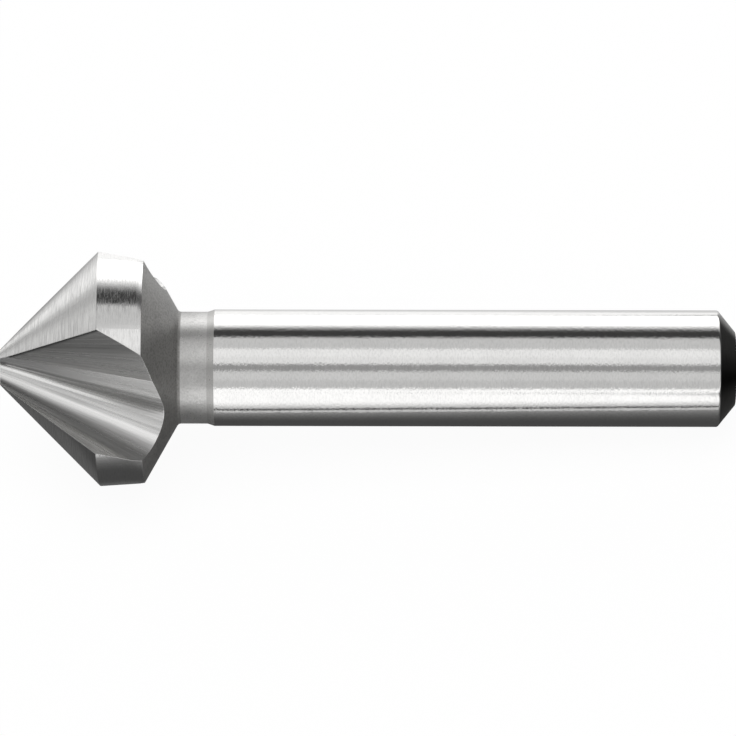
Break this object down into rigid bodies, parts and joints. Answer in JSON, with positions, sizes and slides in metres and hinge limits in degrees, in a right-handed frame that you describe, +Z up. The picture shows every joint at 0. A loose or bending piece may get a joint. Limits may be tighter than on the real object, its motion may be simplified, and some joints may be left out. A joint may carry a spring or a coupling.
{
  "type": "countersink bit",
  "caption": "Fluted conical countersink with a short cylindrical land, relieved neck and plain round shank for a chuck.",
  "frame": {"origin": "centre of the bounding box on the surface the bit lies on", "axes": "+Z up; +X runs along the bit from the point towards the shank end, which lies a few degrees lower; the bit rests on two corners of its head and the end edge of its shank"},
  "size_m": [0.0632, 0.0204, 0.0194],
  "materials": {
    "ground_steel": "bright ground tool steel, satin in the flutes and on the neck, darkened on the end chamfer"
  },
  "bodies": {
    "root": {"countersink_bit": "ground_steel"}
  },
  "joints": []
}
